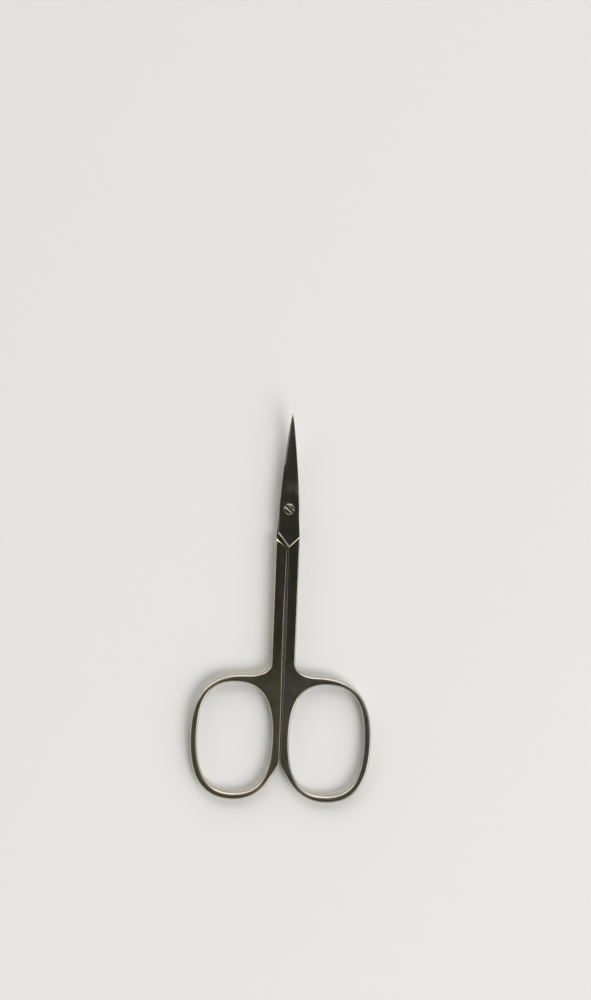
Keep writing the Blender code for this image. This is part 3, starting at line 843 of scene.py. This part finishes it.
def screw_sheets(context):
    """The screw's grids. Its head is cut into chords that run along the slot; the
    chords' ends make the rim. The level is a parabolic dome that falls by a quarter
    ellipse at the rim, slopes down at the slot's broken edges and drops to the slot's
    floor. The sides and the tail are turned."""
    h, b, s = sizes(context)
    middle, plate = h.shank_thickness / 2, b.mating_gap / 2 + b.plate_thickness
    top, seat = middle + plate + s.proud, middle + plate - s.seat_depth + s.clearance
    tail = middle - plate - s.tail_proud
    half, lip = s.slot_width / 2, s.slot_lip
    flat_radius = s.head_radius - s.head_round
    outer = np.arcsin(np.clip((half + lip) / s.head_radius, -1, 1))
    turn = np.concatenate([
        np.linspace(-np.pi / 2, -outer, HEAD_CHORDS),
        np.arcsin(np.array([-half, -half + SLOT_STEP, half - SLOT_STEP, half]) / s.head_radius),
        np.linspace(outer, np.pi / 2, HEAD_CHORDS),
    ])
    across = s.head_radius * np.sin(turn)
    share = np.linspace(-1, 1, HEAD_CHORDS * 2 + 1)
    along = np.sqrt(np.maximum(s.head_radius**2 - across**2, 0))[:, None] * np.sin(share * np.pi / 2)
    across = np.broadcast_to(across[:, None], along.shape)
    radius = np.hypot(along, across)
    fall = np.clip((radius - flat_radius) / s.head_round, 0, 1)
    dome = s.head_crown * (radius / s.head_radius) ** 2
    level = top - s.head_drop * (1 - np.sqrt(1 - fall**2)) - dome
    in_slot = np.abs(across) < half - SLOT_STEP / 2
    slope = s.slot_fall * np.clip(1 - (np.abs(across) - half) / lip, 0, 1)
    level = np.where(in_slot, top - s.slot_depth, level - slope)
    cos, sin = math.cos(s.slot_turn), math.sin(s.slot_turn)
    x, y = cos * along - sin * across, sin * along + cos * across
    head = np.dstack([x, y, level])
    rim = np.vstack([head[:, -1], head[::-1, 0], head[:1, -1]])
    under = rim.copy()
    under[:, 2] = seat
    wall = between(rim, under, np.linspace(0, 1, WALL_CELLS + 1))
    way = np.arctan2(rim[:, 1], rim[:, 0])
    broken, journal = s.head_drop, s.journal_radius
    shaft = [(s.head_radius, seat), (journal, seat), (journal, tail + broken)]
    tail_turn = np.linspace(0, np.pi / 2, RIM_CELLS + 1)[1:]
    tail_in, tail_up = broken * (1 - np.cos(tail_turn)), broken * (1 - np.sin(tail_turn))
    shaft += [*zip(journal - tail_in, tail + tail_up), (0.0, tail)]
    return [(sheet, None) for sheet in (head, wall, bore_sheet(way, shaft))]


# Meshes


def welded_mesh(name, sheets, hand):
    """A closed mesh from grids: quads between neighbouring points, mirrored in plan for
    the rear half and set at the pivot, with the shared borders merged."""
    points, faces, first = [], [], 0
    for sheet, skip in sheets:
        ids = first + np.arange(sheet.shape[0] * sheet.shape[1]).reshape(sheet.shape[:2])
        quads = np.stack([ids[:-1, :-1], ids[1:, :-1], ids[1:, 1:], ids[:-1, 1:]], axis=-1)
        faces.append(quads.reshape(-1, 4) if skip is None else quads[~skip])
        points.append(sheet.reshape(-1, 3))
        first += ids.size
    place = np.vstack(points) * (hand, 1, 1) + (PIVOT[0], PIVOT[1], 0)
    mesh = bpy.data.meshes.new(name)
    mesh.from_pydata(place, [], np.vstack(faces).tolist())
    solid = bmesh.new()
    solid.from_mesh(mesh)
    bmesh.ops.remove_doubles(solid, verts=solid.verts, dist=WELD)
    bmesh.ops.dissolve_degenerate(solid, edges=solid.edges, dist=SLIVER)
    bmesh.ops.recalc_face_normals(solid, faces=solid.faces)
    solid.to_mesh(mesh)
    solid.free()
    mesh.shade_smooth()
    mesh.set_sharp_from_angle(angle=SHARP)
    return mesh


def placed(context, name, mesh, body, node, materials):
    """Puts a finished mesh in the scene in place of its plain solid."""
    for material in materials:
        mesh.materials.append(material)
    piece = bpy.data.objects.new(name, mesh)
    context.scene.collection.objects.link(piece)
    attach(piece, body)
    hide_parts(node)


def mark_ground_faces(context, mesh, hand):
    """Gives the ground metal to the blade's outer face beyond the plunge line and to
    the mating face beyond the shoulder."""
    h, b, _ = sizes(context)
    count = len(mesh.polygons)
    centre, normal = np.zeros(count * 3), np.zeros(count * 3)
    mesh.polygons.foreach_get("center", centre)
    mesh.polygons.foreach_get("normal", normal)
    centre, normal = centre.reshape(-1, 3), normal.reshape(-1, 3)
    x, y = (centre[:, 0] - PIVOT[0]) * hand, centre[:, 1] - PIVOT[1]
    facing = normal[:, 2] * hand
    outer = (facing > FACING_SHARE) & (y > plunge_y(b, x) + b.plunge_run / 2)
    mating = (facing < -FACING_SHARE) & (y > shoulder_y(h, b, x))
    mesh.polygons.foreach_set("material_index", (outer | mating).astype(np.int32))


# Materials


def node(tree, kind, settings=(), **sockets):
    """A node with its settings and input values; a socket as value makes a link. An
    input is named by its words, or by i and its number."""
    made = tree.nodes.new(kind)
    for key, value in dict(settings).items():
        setattr(made, key, value)
    for key, value in sockets.items():
        socket = made.inputs[int(key[1:])] if key[1:].isdigit() else made.inputs[key.replace("_", " ")]
        if isinstance(value, bpy.types.NodeSocket):
            tree.links.new(value, socket)
        else:
            socket.default_value = value
    return made


def noise(tree, place, pattern, turn=0.0):
    """A pattern of noise on Object coordinates, multiplied by the pattern's factors and
    then turned about Z."""
    frequency, factors, detail = pattern
    mapping = node(tree, "ShaderNodeMapping", Vector=place, Scale=factors, Rotation=(0, 0, turn))
    made = node(tree, "ShaderNodeTexNoise", Vector=mapping.outputs[0], Scale=frequency, Detail=detail)
    return made.outputs["Fac"]


def spread(tree, value, low, high, to_low, to_high):
    """A value moved from one range to another and kept in it."""
    return node(
        tree, "ShaderNodeMapRange", Value=value, From_Min=low, From_Max=high, To_Min=to_low, To_Max=to_high
    ).outputs[0]


def new_metal(name):
    """A metallic material, with its tree, its shader and its Object coordinates."""
    material = bpy.data.materials.new(name)
    material.use_nodes = True
    tree = material.node_tree
    shader = tree.nodes["Principled BSDF"]
    shader.inputs["Metallic"].default_value = 1.0
    place = tree.nodes.new("ShaderNodeTexCoord").outputs["Object"]
    return material, tree, shader, place


def two_tone(tree, shader, share, first, second):
    """Gives the shader a colour between two by a share."""
    mix = node(
        tree, "ShaderNodeMix", {"data_type": "RGBA"}, i0=share, i6=(*first, 1.0), i7=(*second, 1.0)
    )
    tree.links.new(mix.outputs[2], shader.inputs["Base Color"])


def relief(tree, shader, height, depth, strength):
    """Gives the shader a shallow relief of a depth in metres."""
    bump = node(tree, "ShaderNodeBump", Height=height, Distance=depth, Strength=strength)
    tree.links.new(bump.outputs[0], shader.inputs["Normal"])


def scaled(values, factor):
    """Each of the values times one factor."""
    return [value * factor for value in values]


def polished_nickel(finish, name, turn, shade):
    """Plated and buffed nickel: two tones in soft patches, faint streaks along the
    shanks in the roughness, shallow buffing waves, and duller bows, where a buffing
    wheel hardly reaches and fingers rub."""
    material, tree, shader, place = new_metal(name)
    patches = noise(tree, place, PATCHES, turn)
    tone = spread(tree, patches, *PATCH_RANGE, 0.0, 1.0)
    two_tone(tree, shader, tone, finish.warm, shade)
    streaks = noise(tree, place, STREAKS, turn)
    smears = noise(tree, place, SMEARS, -turn)
    both = node(tree, "ShaderNodeMath", {"operation": "MULTIPLY"}, i0=streaks, i1=smears).outputs[0]
    streaked = spread(tree, both, *STREAK_RANGE, *scaled(POLISH_SHARES, finish.polish))
    dulled = [finish.polish + extra for extra in scaled(DULL_SHARES, finish.dull)]
    mottled = spread(tree, smears, *MIDDLE_RANGE, *dulled)
    along = node(tree, "ShaderNodeSeparateXYZ", Vector=place).outputs[1]
    bow_stretch = [PIVOT[1] + level for level in DULL_ALONG]
    bow_share = spread(tree, along, *bow_stretch, 0.0, 1.0)
    rough = node(tree, "ShaderNodeMix", {"data_type": "FLOAT"}, i0=bow_share, i2=streaked, i3=mottled)
    tree.links.new(rough.outputs[0], shader.inputs["Roughness"])
    waves = noise(tree, place, WAVES, turn)
    fine = noise(tree, place, BUFFING)
    fine_share = spread(tree, along, *bow_stretch, BUFFING_SHARE, 0.0)
    height = node(tree, "ShaderNodeMath", {"operation": "MULTIPLY_ADD"}, i0=fine, i1=fine_share, i2=waves)
    relief(tree, shader, height.outputs[0], *WAVE_RELIEF)
    return material


def ground_nickel(finish, name):
    """A ground face: fine parallel marks across the blade in height and roughness."""
    material, tree, shader, place = new_metal(name)
    marks = noise(tree, place, GRINDING, GRINDING_TURN)
    tone = spread(tree, noise(tree, place, BLADE_PATCHES), *BLADE_PATCH_RANGE, 0.0, 1.0)
    two_tone(tree, shader, tone, scaled(finish.ground, GROUND_DARK_SHARE), finish.ground)
    rough = spread(tree, marks, *MIDDLE_RANGE, *scaled(GRIND_SHARES, finish.grind))
    tree.links.new(rough, shader.inputs["Roughness"])
    relief(tree, shader, marks, *GRINDING_RELIEF)
    return material


def turned_nickel(finish, name):
    """A turned face: fine rings round the pivot, read from the distance to its axis, and
    darker stains."""
    material, tree, shader, place = new_metal(name)
    centre = (-PIVOT[0], -PIVOT[1], 0)
    local = node(tree, "ShaderNodeMapping", Vector=place, Location=centre, Scale=(1, 1, 0)).outputs[0]
    radius = node(tree, "ShaderNodeVectorMath", {"operation": "LENGTH"}, i0=local).outputs["Value"]
    rings = node(
        tree, "ShaderNodeTexNoise", {"noise_dimensions": "1D"},
        W=radius, Scale=RINGS_PER_METRE, Detail=RINGS_DETAIL,
    ).outputs["Fac"]
    stains = spread(tree, noise(tree, place, STAINS), *STAIN_RANGE, 0.0, 1.0)
    two_tone(tree, shader, stains, finish.screw, scaled(finish.screw, STAIN_DARK_SHARE))
    rough = spread(tree, rings, *MIDDLE_RANGE, *SCREW_ROUGHNESS)
    tree.links.new(rough, shader.inputs["Roughness"])
    relief(tree, shader, rings, *RING_RELIEF)
    return material


# Operators


class SCISSORS_OT_front_half(bpy.types.Operator):
    """Build the upper half, with its blade, joint plate, shank and finger bow"""

    bl_idname = "scissors.front_half"
    bl_label = "Front half"

    def execute(self, context):
        finish = context.scene.scissors_finish
        mesh = welded_mesh("front_half_fine", half_sheets(context, FRONT), FRONT)
        metals = [
            polished_nickel(finish, "front_polish", 0.0, finish.green),
            ground_nickel(finish, "front_ground"),
        ]
        placed(context, "front_half_fine", mesh, "front_body", "front_half", metals)
        mark_ground_faces(context, mesh, FRONT)
        return {"FINISHED"}


class SCISSORS_OT_rear_half(bpy.types.Operator):
    """Build the lower half, the front half's mirror image in plan"""

    bl_idname = "scissors.rear_half"
    bl_label = "Rear half"

    def execute(self, context):
        finish = context.scene.scissors_finish
        mesh = welded_mesh("rear_half_fine", half_sheets(context, REAR), REAR)
        metals = [
            polished_nickel(finish, "rear_polish", REAR_PATTERN_TURN, finish.olive),
            ground_nickel(finish, "rear_ground"),
        ]
        placed(context, "rear_half_fine", mesh, "rear_body", "rear_half", metals)
        mark_ground_faces(context, mesh, REAR)
        return {"FINISHED"}


class SCISSORS_OT_pivot_screw(bpy.types.Operator):
    """Build the slotted screw that joins the halves"""

    bl_idname = "scissors.pivot_screw"
    bl_label = "Pivot screw"

    def execute(self, context):
        mesh = welded_mesh("pivot_screw_fine", screw_sheets(context), FRONT)
        metal = turned_nickel(context.scene.scissors_finish, "screw_metal")
        placed(context, "pivot_screw_fine", mesh, "rear_body", "pivot_screw", [metal])
        return {"FINISHED"}


class SCISSORS_OT_studio(bpy.types.Operator):
    """Set up the pale floor, the soft light and the camera over the tool"""

    bl_idname = "scissors.studio"
    bl_label = "Studio"

    def execute(self, context):
        look = context.scene.scissors_studio
        set_floor(context, look)
        set_world(context, look)
        set_lamps(context, look)
        set_camera(context, look)
        context.scene.view_settings.view_transform = "Standard"
        return {"FINISHED"}


# The studio


def set_floor(context, look):
    """A flat square of matt paper just under the tool."""
    half, level = look.floor_half, -look.floor_drop
    mesh = bpy.data.meshes.new("floor")
    corners = [(-half, -half, level), (half, -half, level), (half, half, level), (-half, half, level)]
    mesh.from_pydata(corners, [], [(0, 1, 2, 3)])
    material = bpy.data.materials.new("floor_paper")
    material.use_nodes = True
    tree = material.node_tree
    shader = tree.nodes["Principled BSDF"]
    shader.inputs["Roughness"].default_value = FLOOR_ROUGHNESS
    shader.inputs["Specular IOR Level"].default_value = FLOOR_SHEEN
    shader.inputs["Base Color"].default_value = (*look.floor_colour, 1.0)
    mesh.materials.append(material)
    floor = bpy.data.objects.new("floor", mesh)
    context.scene.collection.objects.link(floor)


def set_world(context, look):
    """A dark ceiling over bright walls. The walls' upper edge, the brow, climbs from
    the bows' end of the room to the tips' end, and they brighten smoothly over a band
    below it. The wall beyond the tips is the brightest, and the side walls are the
    dimmest."""
    world = bpy.data.worlds.new("studio")
    context.scene.world = world
    world.use_nodes = True
    tree = world.node_tree
    back = tree.nodes["Background"]
    place = tree.nodes.new("ShaderNodeTexCoord").outputs["Generated"]
    axes = node(tree, "ShaderNodeSeparateXYZ", Vector=place)
    along, up = axes.outputs[1], axes.outputs[2]
    brow = spread(tree, along, *BROW_ALONG, *BROW_HEIGHTS)
    under = node(tree, "ShaderNodeMath", {"operation": "SUBTRACT"}, i0=brow, i1=up).outputs[0]
    height = node(
        tree, "ShaderNodeMapRange", {"interpolation_type": "SMOOTHSTEP"},
        Value=under, From_Min=0.0, From_Max=BROW_BAND, To_Min=0.0, To_Max=1.0,
    ).outputs[0]
    far = spread(tree, along, *FAR_WALL_ALONG, look.side_wall, look.far_wall)
    near = spread(tree, along, *NEAR_WALL_ALONG, 0.0, look.near_wall - look.side_wall)
    walls = node(tree, "ShaderNodeMath", {"operation": "ADD"}, i0=far, i1=near).outputs[0]
    bright = node(tree, "ShaderNodeMath", {"operation": "MULTIPLY"}, i0=height, i1=walls).outputs[0]
    wall = node(
        tree, "ShaderNodeVectorMath", {"operation": "SCALE"}, i0=tuple(look.horizon), Scale=bright
    ).outputs[0]
    total = node(tree, "ShaderNodeVectorMath", {"operation": "ADD"}, i0=wall, i1=tuple(look.zenith))
    tree.links.new(total.outputs[0], back.inputs["Color"])


def set_lamps(context, look):
    """Soft square lamps turned to the origin: a key lamp, which throws the shadow on
    the floor and isn't mirrored in the metal, one beyond the tips, and one at either
    side."""
    for name, (place, side, mirrored) in LAMPS.items():
        lamp = bpy.data.lights.new(name, "AREA")
        lamp.shape = "SQUARE"
        lamp.size = side
        lamp.energy = getattr(look, name + "_watts")
        thing = bpy.data.objects.new(name, lamp)
        x, y, z = place
        flat = math.hypot(x, y)
        thing.location = place
        thing.rotation_euler = (math.atan2(flat, z), 0, math.atan2(y, x) + math.pi / 2)
        thing.visible_glossy = mirrored
        context.scene.collection.objects.link(thing)


def set_camera(context, look):
    """A long lens straight above, turned so that the tips lean to the right."""
    camera = bpy.data.cameras.new("camera")
    camera.sensor_fit = "VERTICAL"
    camera.sensor_height = SENSOR_MM
    camera.lens = look.lens_mm
    camera.clip_end = VIEW_LIMIT
    thing = bpy.data.objects.new("camera", camera)
    distance = look.view_height * look.lens_mm / SENSOR_MM
    thing.location = (PIVOT[0] + look.view_x, PIVOT[1] + look.view_y, distance)
    thing.rotation_euler = (0, 0, look.view_turn)
    context.scene.collection.objects.link(thing)
    context.scene.camera = thing


# The panel and the registration


class SCISSORS_PT_panel(bpy.types.Panel):
    """Lists the pieces of the scissors and their main sizes"""

    bl_idname = "SCISSORS_PT_panel"
    bl_label = "Cuticle Scissors"
    bl_space_type = "VIEW_3D"
    bl_region_type = "UI"
    bl_category = "Scissors"

    def draw(self, context):
        for step in STEPS:
            self.layout.operator(step)
        for group in GROUPS:
            box = self.layout.box()
            box.label(text=group.replace("_", " ").title())
            values = getattr(context.scene, group)
            for key in values.bl_rna.properties.keys():
                if key not in ("rna_type", "name"):
                    box.prop(values, key)


STEPS = ("scissors.front_half", "scissors.rear_half", "scissors.pivot_screw", "scissors.studio")
OPERATORS = (SCISSORS_OT_front_half, SCISSORS_OT_rear_half, SCISSORS_OT_pivot_screw, SCISSORS_OT_studio)
CLASSES = (*GROUPS.values(), *OPERATORS, SCISSORS_PT_panel)


def register():
    """Registers the classes and hangs the sizes on the scene."""
    for thing in CLASSES:
        bpy.utils.register_class(thing)
    for name, group in GROUPS.items():
        setattr(bpy.types.Scene, name, bpy.props.PointerProperty(type=group))


def unregister():
    """Takes back what register did."""
    for name in GROUPS:
        delattr(bpy.types.Scene, name)
    for thing in reversed(CLASSES):
        bpy.utils.unregister_class(thing)


def main():
    """Builds every piece and the studio."""
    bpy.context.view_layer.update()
    register()
    bpy.ops.scissors.front_half()
    bpy.ops.scissors.rear_half()
    bpy.ops.scissors.pivot_screw()
    bpy.ops.scissors.studio()


if __name__ == "__main__":
    main()
